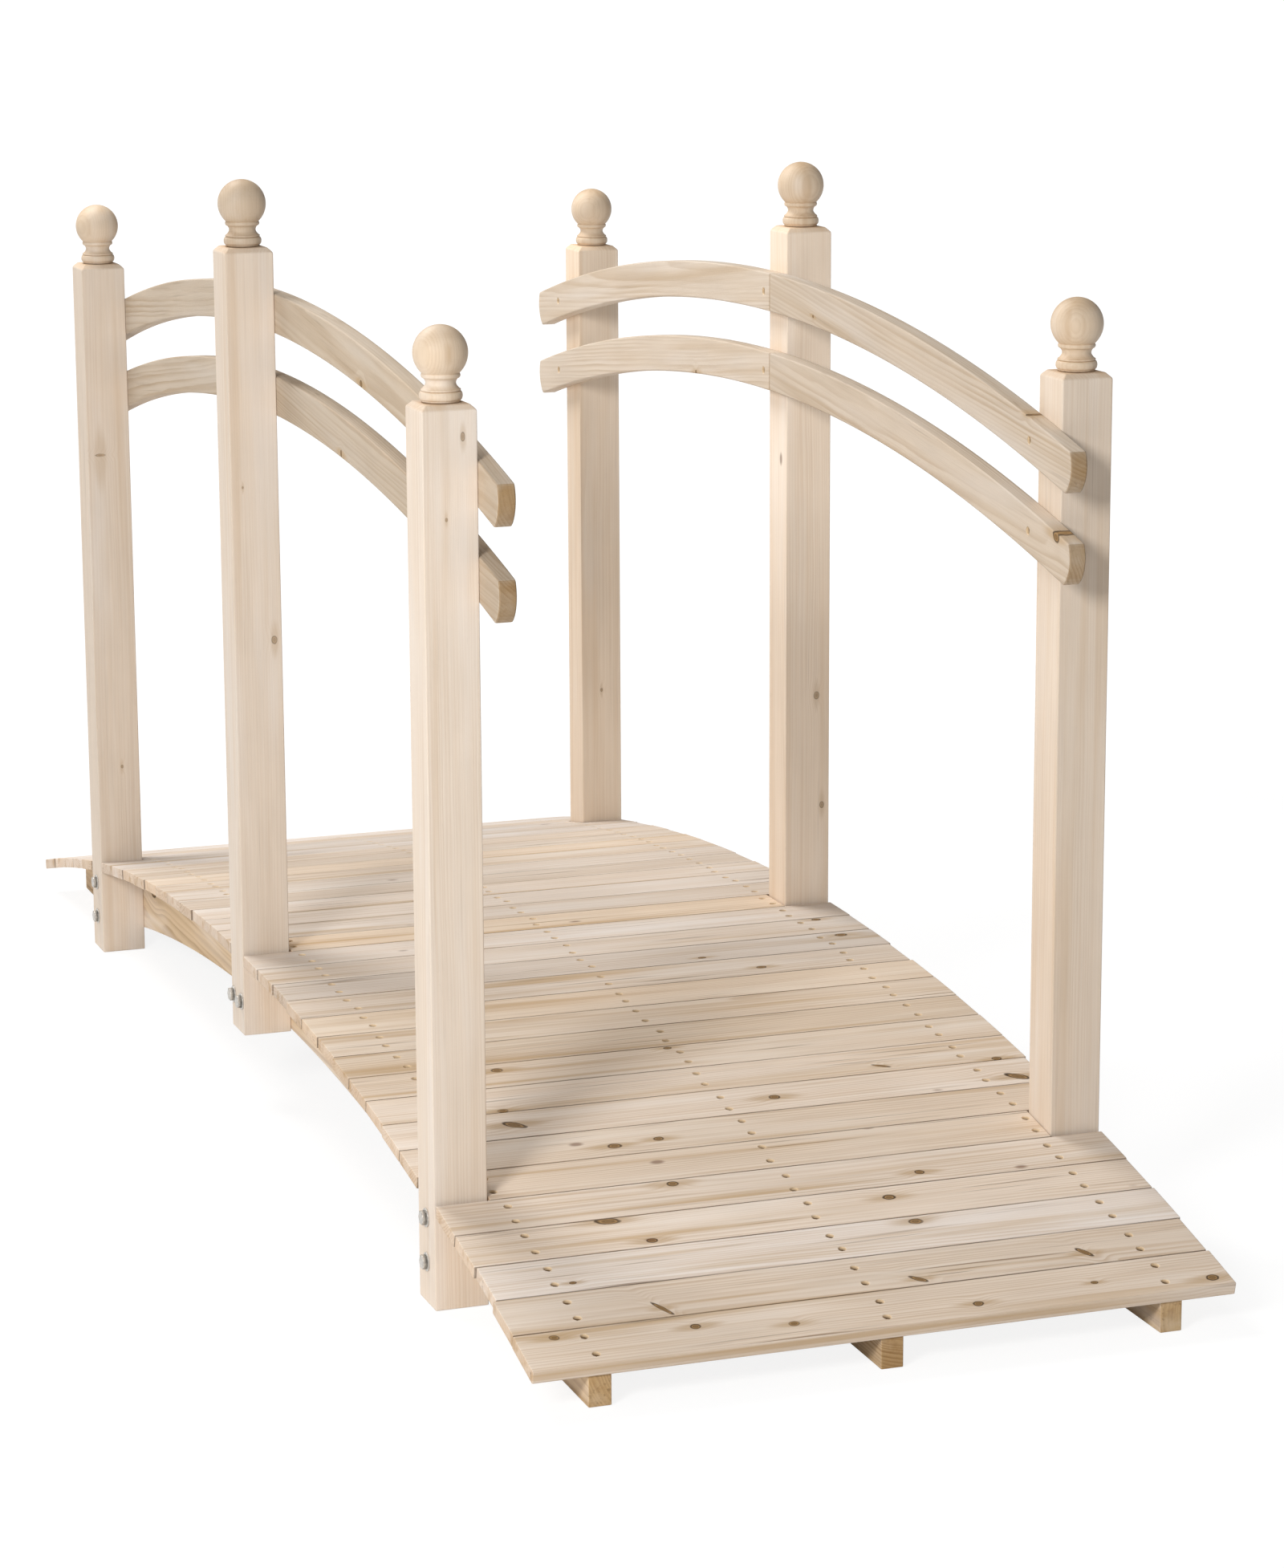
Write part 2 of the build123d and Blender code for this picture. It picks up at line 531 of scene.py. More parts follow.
def rail_outline(crown, start, end):
    """A curved rail from its square joint at start to its rounded free end."""
    centre = crown - RAIL_RADIUS
    outer = RAIL_RADIUS + RAIL_DEPTH / 2
    inner = RAIL_RADIUS - RAIL_DEPTH / 2
    toward = 1 if end > start else -1
    shoulder = math.asin(end / RAIL_RADIUS) - toward * RAIL_END_BULGE / RAIL_RADIUS
    half = RAIL_DEPTH / 2
    round_radius = (half**2 + RAIL_END_BULGE**2) / (2 * RAIL_END_BULGE)
    points = arc(outer, centre, start, outer * math.sin(shoulder), RAIL_POINTS)
    for offset in spread(half, -half, RAIL_END_POINTS)[1:-1]:
        bulge = math.sqrt(round_radius**2 - offset**2) - (round_radius - RAIL_END_BULGE)
        turn = shoulder + toward * bulge / RAIL_RADIUS
        reach = RAIL_RADIUS + offset
        points.append((reach * math.sin(turn), centre + reach * math.cos(turn)))
    points += arc(inner, centre, inner * math.sin(shoulder), start, RAIL_POINTS)
    return points


# Tone and warmth of the rails by side and station
RAIL_LOOKS = {
    ("left", "near"): (0.64, 1.1),
    ("left", "far"): (0.69, 0.8),
    ("right", "near"): (0.73, 0.4),
    ("right", "far"): (0.84, 0.1),
}
RAIL_TONE_SPREAD = 0.02
RAIL_KNOTS = {
    "rail_lower_near_right": (knot(0.412, 0.023, 0.006, 1.5, -20),),
    "rail_upper_near_right": (
        knot(0.328, 0.037, 0.0032, 1.5),
        knot(-0.300, 0.002, 0.002),
        knot(-0.240, -0.008, 0.002),
    ),
    "rail_lower_far_right": (knot(0.200, 0.0, 0.004, 0.7),),
    "rail_lower_near_left": (knot(-0.150, 0.004, 0.004, 0.8),),
    "rail_upper_near_left": (
        knot(-0.200, -0.012, 0.004),
        knot(-0.060, 0.006, 0.004, 1.3),
    ),
}


def make_rail(node, side, station, material, chance):
    """One half rail, with its screw holes on the inner face. Returns the screws' places."""
    low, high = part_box(node)
    start, end = (low.x, high.x) if station == "near" else (high.x, low.x)
    outer = RAIL_RADIUS + RAIL_DEPTH / 2
    highest_at = 0.0 if low.x < 0 < high.x else min(abs(low.x), abs(high.x))
    crown = high.z - RAIL_DEPTH / 2 + outer - math.sqrt(outer**2 - highest_at**2)
    inward = 1 if side == "left" else -1
    back = low.y if side == "left" else high.y
    placed = Matrix.Translation((0, back, 0))
    placed = placed @ Matrix(((1, 0, 0), (0, 0, inward), (0, 1, 0))).to_4x4()
    centre = crown - RAIL_RADIUS
    holes = [(x, centre + math.sqrt(RAIL_RADIUS**2 - x**2)) for x in RAIL_SCREWS[station]]
    slope = math.asin((start + end) / 2 / RAIL_RADIUS)
    along = Vector((math.cos(slope), 0, -math.sin(slope)))
    across = Vector((math.sin(slope), 0, math.cos(slope)))
    middle = Vector(((low.x + high.x) / 2, back, (low.z + high.z) / 2))
    tone, warmth = RAIL_LOOKS[side, station]
    tone += chance.gauss(0, RAIL_TONE_SPREAD)
    wood = Wood(middle, along, across, chance, tone, warmth, RAIL_KNOTS.get(node, ()))
    outline = rail_outline(crown, start, end)
    rail = make_timber(outline, RAIL_THICKNESS, placed, wood, RAIL_EDGE, chance, holes)
    finish_piece(rail, f"hand{node}", material, [node])
    face = placed @ Matrix.Translation((0, 0, RAIL_THICKNESS))
    return [face @ Matrix.Translation((x, z, 0)) for x, z in holes]


def make_rails(material):
    """Eight half rails, two high on each side. Returns the screws' places."""
    chance = random.Random(SEEDS["rails"])
    screws = []
    for side in ("left", "right"):
        for level in ("upper", "lower"):
            for station in ("near", "far"):
                screws += make_rail(f"rail_{level}_{station}_{side}", side, station, material, chance)
    return screws


# Posts and finials

# Tone and warmth of each post
POST_LOOKS = {
    "post_near_left": (0.94, 0.0),
    "post_mid_left": (0.90, 0.0),
    "post_far_left": (0.86, 0.1),
    "post_near_right": (0.94, 0.2),
    "post_mid_right": (1.10, 0.4),
    "post_far_right": (1.02, 0.7),
}
POST_KNOTS = {
    "post_far_left": (knot(0.225, -0.012, 0.008, 0.3), knot(-0.220, 0.005, 0.002)),
    "post_near_left": (knot(0.370, -0.005, 0.0016), knot(0.456, 0.014, 0.0025, 2.2)),
    "post_mid_left": (knot(0.010, 0.020, 0.004), knot(0.200, -0.015, 0.0014)),
    "post_mid_right": (knot(-0.110, 0.012, 0.004), knot(-0.255, 0.020, 0.0035)),
    "post_far_right": (knot(-0.160, 0.0, 0.0022),),
}


def make_posts(material):
    """Six square posts, each with its CAD shape and eased edges."""
    chance = random.Random(SEEDS["posts"])
    for side in ("left", "right"):
        for station in ("near", "mid", "far"):
            node = f"post_{station}_{side}"
            solid = bmesh.new()
            solid.from_mesh(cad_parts[node].data)
            bmesh.ops.remove_doubles(solid, verts=solid.verts, dist=SAME_PLACE)
            bmesh.ops.dissolve_limit(solid, angle_limit=SAME_PLANE, verts=solid.verts, edges=solid.edges)
            ease_edges(solid, POST_EDGE)
            post = new_mesh()
            join(post, solid)
            low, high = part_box(node)
            middle = (low + high) / 2
            knots = POST_KNOTS.get(node, ())
            wood = Wood(middle, Vector((0, 0, 1)), Vector((0, 1, 0)), chance, *POST_LOOKS[node], knots)
            lay_grain(post, wood)
            finish_piece(post, f"timber_{node}", material, [node])


FINIAL_TONES = {
    "left": {"near": 0.96, "mid": 0.78, "far": 0.88},
    "right": {"near": 0.95, "mid": 0.98, "far": 0.95},
}
FINIAL_WARMTH = 0.3
# Heights and radii of the finial's turned profile, from the post's top upwards
FINIAL_BASE = ((0.0205, 0.0), (0.0205, 0.0022))
FINIAL_BEADS = (
    # middle height, half height, radius at its edges, how far it swells
    (0.0070, 0.0046, 0.0205, 0.0023),
    (0.0130, 0.0012, 0.0196, 0.0014),
    (0.0280, 0.0030, 0.0180, 0.0027),
)
NECK_HOLLOW = 0.0028
BALL_CENTRE = 0.0515
BALL_RADIUS = 0.0290
BALL_CUT = math.radians(52)
LATHE_SIDES = 56


def finial_profile():
    """The turned outline: foot bead, step, hollow neck, collar bead and ball."""
    points = list(FINIAL_BASE)
    for height, half, edge, swell in FINIAL_BEADS[:2]:
        points += [(edge + swell * math.cos(t), height + half * math.sin(t)) for t in spread(-1.5, 1.5, 9)]
    neck_low = points[-1]
    collar = FINIAL_BEADS[2]
    neck_high = (collar[2], collar[0] - collar[1])
    for t in spread(0.0, 1.0, 9)[1:-1]:
        radius = neck_low[0] + (neck_high[0] - neck_low[0]) * t - NECK_HOLLOW * math.sin(math.pi * t)
        points.append((radius, neck_low[1] + (neck_high[1] - neck_low[1]) * t))
    height, half, edge, swell = collar
    points += [(edge + swell * math.cos(t), height + half * math.sin(t)) for t in spread(-1.5, 1.5, 11)]
    for t in spread(-BALL_CUT, math.pi / 2, 30):
        points.append((max(BALL_RADIUS * math.cos(t), 0.0), BALL_CENTRE + BALL_RADIUS * math.sin(t)))
    return points


def lathe(mesh, profile, sides):
    """Turns a profile of (radius, height) points round the Z axis."""
    rings = []
    for radius, height in profile:
        radii = [radius] * sides if radius > 1e-6 else [0.0]
        rings.append([mesh.verts.new((x, y, height)) for x, y in circle(radii)])
    for lower, upper in zip(rings, rings[1:]):
        for j in range(sides):
            corners = [lower[j - 1], lower[j], upper[j % len(upper)], upper[(j - 1) % len(upper)]]
            mesh.faces.new(list(dict.fromkeys(corners)))
    if len(rings[0]) > 1:
        mesh.faces.new(reversed(rings[0]))
    if len(rings[-1]) > 1:
        mesh.faces.new(rings[-1])


def make_finials(material):
    """Three turned finials on each side, on top of their posts."""
    chance = random.Random(SEEDS["finials"])
    for side in ("left", "right"):
        whole = new_mesh()
        for station in ("far", "mid", "near"):
            low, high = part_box(f"post_{station}_{side}")
            seat = Vector(((low.x + high.x) / 2, (low.y + high.y) / 2, high.z))
            turned = new_mesh()
            lathe(turned, finial_profile(), LATHE_SIDES)
            spin = Matrix.Rotation(chance.uniform(0, 2 * math.pi), 4, "Z")
            turned.transform(Matrix.Translation(seat) @ spin)
            grain_across = Vector((chance.uniform(-1, 1), 1, 0))
            tone = FINIAL_TONES[side][station]
            wood = Wood(seat, Vector((0, 0, 1)), grain_across, chance, tone, FINIAL_WARMTH)
            lay_grain(turned, wood)
            join(whole, turned)
        finish_piece(whole, f"turned_finials_{side}", material, [f"finials_{side}"])


# Screws and bolts


def add_screw(whole, placed):
    """A countersunk screw head with a lobed recess, a little below the surface."""
    head = new_mesh()
    turns = [2 * math.pi * j / SCREW_HEAD_SIDES for j in range(SCREW_HEAD_SIDES)]
    loops = []
    for reach, lobes, height in SCREW_HEAD_RINGS:
        radii = [SCREW_HOLE_RADIUS * reach * (1 + lobes * math.cos(RECESS_LOBES * t)) for t in turns]
        z = height - SCREW_HEAD_DEPTH
        loops.append([head.verts.new((x, y, z)) for x, y in circle(radii)])
    bridge_loops(head, loops)
    head.transform(placed)
    join(whole, head)


def make_screw_heads(material, places):
    heads = new_mesh()
    for placed in places:
        add_screw(heads, placed)
    finish_piece(heads, "screw_heads", material)


def add_hexagon(mesh, base, height):
    """A hexagonal head or nut with a chamfered top, standing on base."""
    corners = circle([BOLT_ACROSS / 2] * 6)
    low = [mesh.verts.new((x, y, base)) for x, y in corners]
    high = [mesh.verts.new((x, y, base + height)) for x, y in corners]
    mesh.faces.new(reversed(low))
    top = mesh.faces.new(high)
    for j in range(len(corners)):
        mesh.faces.new((low[j - 1], low[j], high[j], high[j - 1]))
    bmesh.ops.bevel(mesh, geom=list(top.edges), offset=BOLT_CHAMFER, segments=2, profile=0.5, affect="EDGES")


def add_bolt(whole, placed, nut):
    """A washer under a hexagonal head, or under a nut with the bolt's end coming through."""
    bolt = new_mesh()
    washer = [
        (WASHER_RADIUS - WASHER_RIM, 0.0),
        (WASHER_RADIUS, WASHER_RIM),
        (WASHER_RADIUS, WASHER_THICKNESS - WASHER_RIM),
        (WASHER_RADIUS - WASHER_RIM, WASHER_THICKNESS),
        (0.0, WASHER_THICKNESS),
    ]
    lathe(bolt, washer, WASHER_SIDES)
    add_hexagon(bolt, WASHER_THICKNESS, NUT_HEIGHT if nut else BOLT_HEAD)
    if nut:
        top = WASHER_THICKNESS + NUT_HEIGHT
        lathe(bolt, [(radius, top + height) for radius, height in BOLT_END], BOLT_END_SIDES)
    bolt.transform(placed)
    join(whole, bolt)


def make_bolts(material):
    """The bolts that hold each post to its stringer: heads outside, nuts on the stringer's inner face."""
    for side, outward in (("left", -1), ("right", 1)):
        bolts = new_mesh()
        inner_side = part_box(f"stringer_{side}")
        inner_face = inner_side[0].y if outward > 0 else inner_side[1].y
        for station in ("near", "mid", "far"):
            low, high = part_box(f"post_{station}_{side}")
            x = (low.x + high.x) / 2
            outer_face = high.y if outward > 0 else low.y
            for offset, height in MID_POST_BOLTS if station == "mid" else END_POST_BOLTS:
                for face, direction, nut in ((outer_face, outward, False), (inner_face, -outward, True)):
                    turn = Matrix.Rotation(-direction * math.pi / 2, 4, "X")
                    add_bolt(bolts, Matrix.Translation((x + offset, face, height)) @ turn, nut)
        finish_piece(bolts, f"bolts_{side}", material)


# Materials


class Nodes:
    """Adds shader nodes to a material, each by one call that returns its output."""

    def __init__(self, material):
        material.use_nodes = True
        self.tree = material.node_tree
        self.tree.nodes.clear()

    def add(self, kind, inputs=None, output=0, **settings):
        node = self.tree.nodes.new(kind)
        for name, value in settings.items():
            setattr(node, name, value)
        for name, value in (inputs or {}).items():
            if isinstance(value, bpy.types.NodeSocket):
                self.tree.links.new(value, node.inputs[name])
            else:
                node.inputs[name].default_value = value
        return node.outputs[output]

    def attribute(self, name, output="Vector"):
        return self.add("ShaderNodeAttribute", output=output, attribute_name=name)

    def math(self, operation, a, b=0.0, c=0.0):
        return self.add("ShaderNodeMath", {0: a, 1: b, 2: c}, operation=operation)

    def vector(self, operation, a, b=(0, 0, 0)):
        output = "Value" if operation in ("DOT_PRODUCT", "LENGTH") else "Vector"
        return self.add("ShaderNodeVectorMath", {0: a, 1: b}, output, operation=operation)

    def noise(self, place, stretch, detail=2.0, rough=0.5):
        """Noise in -1..1 over a place whose three directions are stretched separately."""
        scaled = self.vector("MULTIPLY", place, stretch)
        inputs = {"Vector": scaled, "Scale": 1.0, "Detail": detail, "Roughness": rough}
        return self.math("MULTIPLY_ADD", self.add("ShaderNodeTexNoise", inputs), 2.0, -1.0)

    def step(self, value, low, high, smooth=True):
        """0 below low, 1 above high, and an even or smooth rise between them."""
        kind = "SMOOTHSTEP" if smooth else "LINEAR"
        inputs = {"Value": value, "From Min": low, "From Max": high}
        return self.add("ShaderNodeMapRange", inputs, interpolation_type=kind)

    def below(self, value, low, high):
        """1 below low, 0 above high, and a smooth fall between them."""
        return self.math("SUBTRACT", 1.0, self.step(value, low, high))

    def split(self, vector):
        """A vector's three parts."""
        return self.add("ShaderNodeSeparateXYZ", {"Vector": vector}).node.outputs

    def flat(self, x, y):
        """A vector with two parts."""
        return self.add("ShaderNodeCombineXYZ", {"X": x, "Y": y})

    def paint(self, colour, paint, field, share):
        """Lays paint over the colour where the field is high, at most as thickly as share says."""
        return self.mix(self.math("MULTIPLY", field, share), colour, srgb(*paint))

    def mix(self, factor, a, b, blend="MIX"):
        node = self.tree.nodes.new("ShaderNodeMix")
        node.data_type = "RGBA"
        node.blend_type = blend
        for socket, value in ((node.inputs[0], factor), (node.inputs[6], a), (node.inputs[7], b)):
            if isinstance(value, bpy.types.NodeSocket):
                self.tree.links.new(value, socket)
            else:
                socket.default_value = value
        return node.outputs[2]

    def show(self, shader):
        """Links a finished shader to the material's output."""
        output = self.tree.nodes.new("ShaderNodeOutputMaterial")
        self.tree.links.new(shader, output.inputs["Surface"])


# Colours of the wood's marks, and of the painted shade in screw holes and between boards
PALE_PATCH = (0.940, 0.918, 0.893)
MINERAL_LINE = (0.48, 0.37, 0.24)
COOL_TINT = (0.970, 0.975, 0.995)
WARM_TINT = (1.0, 0.965, 0.920)
KNOT_STAIN = (0.70, 0.57, 0.39)
KNOT_DARK_RING = (0.47, 0.34, 0.16)
KNOT_PALE_RING = (0.66, 0.51, 0.30)
KNOT_RIM = (0.24, 0.16, 0.07)
PIN_KNOT = (0.42, 0.26, 0.15)
TORN_WOOD = (0.90, 0.83, 0.70)
BORED_WOOD = (0.96, 0.86, 0.71)
# Painted shade at the bottom and lower wall of the screw holes
PAINTED_HOLE_SHADE = (0.30, 0.20, 0.11)
# Painted shade on the board sides in the gaps between boards
PAINTED_GAP_SHADE = (0.37, 0.28, 0.18)

# A stain's narrowness along and across the grain, against its knot's width
STAIN_SHAPE = (0.15, 0.60, 0.0)
FAR_FROM_KNOTS = 50.0


class WoodNodes(Nodes):
    """The nodes of a softwood, with the fields that its rings, knots and marks share."""

    def __init__(self, material):
        super().__init__(material)
        self.place = self.attribute("place")
        self.own = self.vector("ADD", self.place, self.attribute("seed"))
        self.tone, self.warmth, self.chance = self.split(self.attribute("look"))
        self.wobble = self.noise(self.own, (90, 140, 140))
        self.ripple = self.noise(self.own, (9, 60, 60))
        self.blotch = self.noise(self.own, (9, 34, 34), 2.0, 0.6)
        self.fibre = self.noise(self.own, (14, 1000, 1000), 2.0, 0.6)
        self.pores = self.step(self.noise(self.own, (45, 1700, 1700), 1.0), 0.42, 0.75)


def find_knot(nodes, index):
    """Distances from one knot and from the stain drawn out along the grain, each 1 at its rim."""
    offset = nodes.vector("SUBTRACT", nodes.place, nodes.attribute(f"knot{index}_centre"))
    width = nodes.attribute(f"knot{index}_crosswise")
    longwise = nodes.vector("DOT_PRODUCT", offset, nodes.attribute(f"knot{index}_longwise"))
    crosswise = nodes.vector("DOT_PRODUCT", offset, width)
    drawn = nodes.vector("LENGTH", nodes.vector("MULTIPLY", offset, STAIN_SHAPE))
    stain = nodes.math("MULTIPLY", drawn, nodes.vector("LENGTH", width))
    return nodes.vector("LENGTH", nodes.flat(longwise, crosswise)), stain


def find_knots(nodes):
    """Distances from the nearest knot and stain, and how far the rings swell round all knots."""
    nearest, stain, swelling = FAR_FROM_KNOTS, FAR_FROM_KNOTS, 0.0
    for index in range(KNOTS_PER_PIECE):
        distance, drawn = find_knot(nodes, index)
        squared = nodes.math("MULTIPLY", distance, distance)
        swell = nodes.math("EXPONENT", nodes.math("MULTIPLY", squared, -0.14))
        nearest = nodes.math("MINIMUM", distance, nearest)
        stain = nodes.math("MINIMUM", drawn, stain)
        swelling = nodes.math("ADD", swell, swelling)
    return nodes.math("MULTIPLY_ADD", nodes.wobble, 0.20, nearest), stain, swelling


def grow_rings(nodes, swelling, spacing):
    """Growth rings round a slanting pith: 0 in early wood, up to 1 in late wood."""
    along, across, into = nodes.split(nodes.place)
    aside, behind, slant = nodes.split(nodes.attribute("pith"))
    wander = nodes.noise(nodes.own, (2.2, 9, 9))
    across_pith = nodes.math("MULTIPLY_ADD", wander, 0.007, nodes.math("SUBTRACT", across, aside))
    into_pith = nodes.math("SUBTRACT", into, nodes.math("MULTIPLY_ADD", slant, along, behind))
    radius = nodes.vector("LENGTH", nodes.flat(across_pith, into_pith))
    radius = nodes.math("MULTIPLY_ADD", nodes.ripple, 0.0011, radius)
    radius = nodes.math("MULTIPLY_ADD", swelling, 0.006, radius)
    uneven = nodes.noise(nodes.flat(radius, nodes.chance), (90, 9, 1), 1.0)
    phase = nodes.math("MULTIPLY_ADD", radius, 1 / spacing, nodes.math("MULTIPLY", uneven, 1.3))
    phase = nodes.math("FRACT", phase)
    ring = nodes.math("MULTIPLY", nodes.step(phase, 0.25, 0.88), nodes.below(phase, 0.90, 1.0))
    strength = nodes.step(nodes.noise(nodes.own, (3, 30, 30), 1.0), -0.6, 0.7)
    return nodes.math("MULTIPLY", ring, nodes.math("MULTIPLY_ADD", strength, 0.85, 0.15))


def colour_grain(nodes, ring, early, late, streak, ring_depth, dirty):
    """The sound wood's colour: rings, tan bands, streaks, pale patches, mineral lines and fibres."""
    broad = nodes.noise(nodes.own, (2.4, 24, 24), 2.0, 0.6)
    bands = nodes.step(nodes.noise(nodes.own, (1.6, 60, 60), 1.0), 0.05, 0.55)
    streaks = nodes.step(nodes.noise(nodes.own, (3.0, 170, 170), 2.0, 0.6), 0.0, 0.7)
    lines = nodes.step(nodes.noise(nodes.own, (5.0, 260, 260), 1.0), 0.16, 0.45)
    clusters = nodes.step(nodes.noise(nodes.own, (4, 22, 22), 1.0), 0.0, 0.45)
    colour = nodes.mix(nodes.math("MULTIPLY", ring, ring_depth), srgb(*early), srgb(*late))
    colour = nodes.paint(colour, streak, bands, 0.75)
    colour = nodes.paint(colour, late, streaks, 0.35 + dirty / 4)
    colour = nodes.paint(colour, PALE_PATCH, nodes.step(broad, -0.1, 0.6), 0.60)
    colour = nodes.paint(colour, MINERAL_LINE, nodes.math("MULTIPLY", lines, clusters), dirty)
    shade = nodes.tone
    for field, share in ((broad, 0.035), (nodes.fibre, 0.050), (nodes.blotch, 0.060), (nodes.pores, -0.075)):
        shade = nodes.math("MULTIPLY_ADD", field, share, shade)
    grey = nodes.add("ShaderNodeCombineColor", {"Red": shade, "Green": shade, "Blue": shade})
    colour = nodes.mix(1.0, colour, grey, "MULTIPLY")
    tint = nodes.mix(nodes.step(nodes.warmth, -1.2, 1.2, False), srgb(*COOL_TINT), srgb(*WARM_TINT))
    return nodes.mix(1.0, colour, tint, "MULTIPLY")


def paint_knots(nodes, colour, nearest, stain, depth):
    """Knots: an olive stain along the grain, a ringed heart and an uneven dark rim and core."""
    stained = nodes.below(nodes.math("MULTIPLY_ADD", nodes.ripple, 0.45, stain), 0.30, 1.10)
    colour = nodes.paint(colour, KNOT_STAIN, stained, 0.55 * depth)
    rings = nodes.step(nodes.math("SINE", nodes.math("MULTIPLY", nearest, 12.0)), -1.0, 1.0)
    heart = nodes.mix(rings, srgb(*KNOT_DARK_RING), srgb(*KNOT_PALE_RING))
    body = nodes.below(nearest, 0.60, 1.00)
    colour = nodes.mix(nodes.math("MULTIPLY", body, 0.90 * depth), colour, heart)
    from_rim = nodes.math("ABSOLUTE", nodes.math("SUBTRACT", nearest, 0.80))
    rim = nodes.math("MULTIPLY", nodes.below(from_rim, 0.04, 0.26), nodes.step(nodes.blotch, -0.9, 0.2))
    core = nodes.below(nearest, 0.10, 0.50)
    dark = nodes.math("MAXIMUM", nodes.math("MULTIPLY", rim, 0.90), nodes.math("MULTIPLY", core, 0.50))
    return nodes.paint(colour, KNOT_RIM, dark, depth)


def paint_pin_knots(nodes, colour, share):
    """Scattered pin knots, one in each of a share of the wood's cells."""
    place = nodes.vector("MULTIPLY", nodes.own, (7.0, 13.0, 13.0))
    cell = nodes.add("ShaderNodeTexVoronoi", {"Vector": place, "Scale": 1.0}).node
    present = nodes.math("LESS_THAN", nodes.split(cell.outputs["Color"])[0], share)
    pin = nodes.math("MULTIPLY", nodes.below(cell.outputs["Distance"], 0.030, 0.080), present)
    return nodes.paint(colour, PIN_KNOT, pin, 0.65)


def paint_wear_and_shade(nodes, colour, sawn, ends, torn):
    """Darker sawn ends, screw holes that are torn and pale with painted shade at the bottom, and painted
    shade on the board sides at the joints.
    """
    patchy = nodes.math("MULTIPLY_ADD", nodes.step(nodes.blotch, -0.8, 0.6), 0.5, 0.5)
    end_tone = nodes.mix(1.0, colour, srgb(*sawn), "MULTIPLY")
    colour = nodes.mix(nodes.math("MULTIPLY", ends, patchy), colour, end_tone)
    depth = nodes.math("MULTIPLY", nodes.attribute("wear", "Fac"), -1.0)
    colour = nodes.paint(colour, TORN_WOOD, torn, 0.65)
    colour = nodes.paint(colour, BORED_WOOD, nodes.step(depth, 0.0, 1.0, False), 0.85)
    # painted shade: the sunken floor and lower wall of each screw hole are darkened
    colour = nodes.paint(colour, PAINTED_HOLE_SHADE, nodes.step(depth, 1.0, 2.0, False), 0.90)
    # painted shade on the board sides at the joints, in patches
    soiled = nodes.math("MULTIPLY", nodes.attribute("soiled", "Fac"), nodes.step(nodes.blotch, -1.0, 0.5))
    return nodes.paint(colour, PAINTED_GAP_SHADE, soiled, 0.75)


def make_wood(name, early, late, streak, sawn, spacing, gloss, ring_depth, pin_knots, dirty, knot_depth=1.0):
    """Pale softwood: growth rings, fibres, streaks, knots with bent grain, worn marks, and painted shade in
    screw holes and board gaps.
    """
    material = bpy.data.materials.new(name)
    nodes = WoodNodes(material)
    nearest, stain, swelling = find_knots(nodes)
    ring = grow_rings(nodes, swelling, spacing)
    ends = nodes.attribute("end_grain", "Fac")
    rims = nodes.math("MAXIMUM", nodes.attribute("wear", "Fac"), 0.0)
    torn = nodes.math("MULTIPLY", rims, nodes.step(nodes.wobble, -0.8, 0.5))
    colour = colour_grain(nodes, ring, early, late, streak, ring_depth, dirty)
    colour = paint_knots(nodes, colour, nearest, stain, knot_depth)
    colour = paint_pin_knots(nodes, colour, pin_knots)
    colour = paint_wear_and_shade(nodes, colour, sawn, ends, torn)
    rough = nodes.math("MULTIPLY_ADD", ring, -0.10, 1.0 - gloss)
    rough = nodes.math("MULTIPLY_ADD", nodes.blotch, 0.05, rough)
    height = nodes.math("MULTIPLY_ADD", nodes.pores, -0.7, nodes.math("MULTIPLY", nodes.fibre, 0.5))
    height = nodes.math("MULTIPLY_ADD", torn, 1.2, height)
    height = nodes.math("MULTIPLY_ADD", nodes.math("MULTIPLY", ends, nodes.wobble), 1.2, height)
    normal = nodes.add("ShaderNodeBump", {"Height": height, "Strength": 0.55, "Distance": 0.00035})
    inputs = {"Base Color": colour, "Roughness": rough, "Normal": normal, "Specular IOR Level": 0.35}
    nodes.show(nodes.add("ShaderNodeBsdfPrincipled", inputs, "BSDF"))
    return material


def make_plated(name, dull, bright, spot, rough_level, metallic):
    """Plated steel with fine scuffs and a few dark spots."""
    material = bpy.data.materials.new(name)
    nodes = Nodes(material)
    place = nodes.add("ShaderNodeTexCoord", output="Object")
    cloud = nodes.noise(place, (260, 260, 260), 3.0)
    scuff = nodes.noise(place, (1500, 900, 1500), 2.0)
    spots = nodes.step(nodes.noise(place, (600, 600, 600), 2.0), 0.35, 0.75)
    colour = nodes.mix(nodes.step(cloud, -0.8, 0.8), srgb(*dull), srgb(*bright))
    colour = nodes.paint(colour, spot, spots, 0.6)
    rough = nodes.math("MULTIPLY_ADD", scuff, 0.10, rough_level)
    normal = nodes.add("ShaderNodeBump", {"Height": scuff, "Strength": 0.3, "Distance": 0.0001})
    inputs = {"Base Color": colour, "Roughness": rough, "Metallic": metallic, "Normal": normal}
    nodes.show(nodes.add("ShaderNodeBsdfPrincipled", inputs, "BSDF"))
    return material


# The pieces

deck_wood = make_wood(
    "deck_fir",
    early=(0.905, 0.855, 0.800),
    late=(0.755, 0.645, 0.515),
    streak=(0.770, 0.660, 0.505),
    sawn=(0.95, 0.91, 0.86),
    spacing=0.0036,
    gloss=0.28,
    ring_depth=0.65,
    pin_knots=0.40,
    dirty=0.70,
)
stringer_wood = make_wood(
    "stringer_fir",
    early=(0.820, 0.730, 0.600),
    late=(0.640, 0.510, 0.350),
    streak=(0.680, 0.570, 0.420),
    sawn=(0.86, 0.80, 0.68),
    spacing=0.0038,
    gloss=0.26,
    ring_depth=0.80,
    pin_knots=0.30,
    dirty=0.50,
)
post_wood = make_wood(
    "post_fir",
    early=(0.935, 0.885, 0.825),
    late=(0.865, 0.785, 0.695),
    streak=(0.890, 0.815, 0.725),
    sawn=(0.92, 0.86, 0.78),
    spacing=0.0038,
    gloss=0.32,
    ring_depth=0.55,
    pin_knots=0.08,
    dirty=0.12,
    knot_depth=0.55,
)
